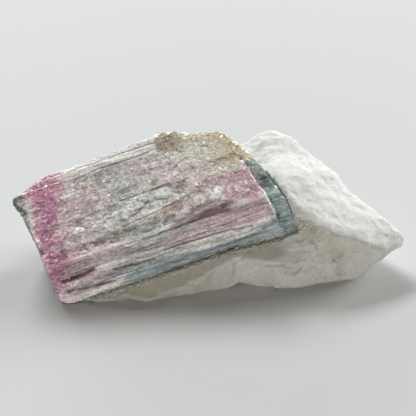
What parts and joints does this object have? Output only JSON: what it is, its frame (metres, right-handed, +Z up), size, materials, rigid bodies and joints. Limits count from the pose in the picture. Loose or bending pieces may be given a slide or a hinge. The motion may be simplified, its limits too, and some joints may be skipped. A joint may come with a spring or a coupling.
{
  "type": "watermelon tourmaline crystal on matrix",
  "caption": "Broken three-sided prism with stepped ledges along its length, lying in a rough rock block with a flat underside, for display.",
  "frame": {"origin": "under the middle of the whole specimen, on the level that it rests on", "axes": "+Z up, +X along the specimen from the crystal's green end to the matrix's tip, -Y towards the broken face of the crystal"},
  "size_m": [0.0946, 0.0472, 0.0316],
  "materials": {
    "tourmaline": "glassy, cloudy, banded pink, grey and blue-green",
    "albite": "rough, sugary white",
    "mica": "pearly flakes"
  },
  "bodies": {
    "root": {"tourmaline_crystal": "tourmaline", "albite_matrix": "albite", "mica_crust": "mica"}
  },
  "joints": []
}
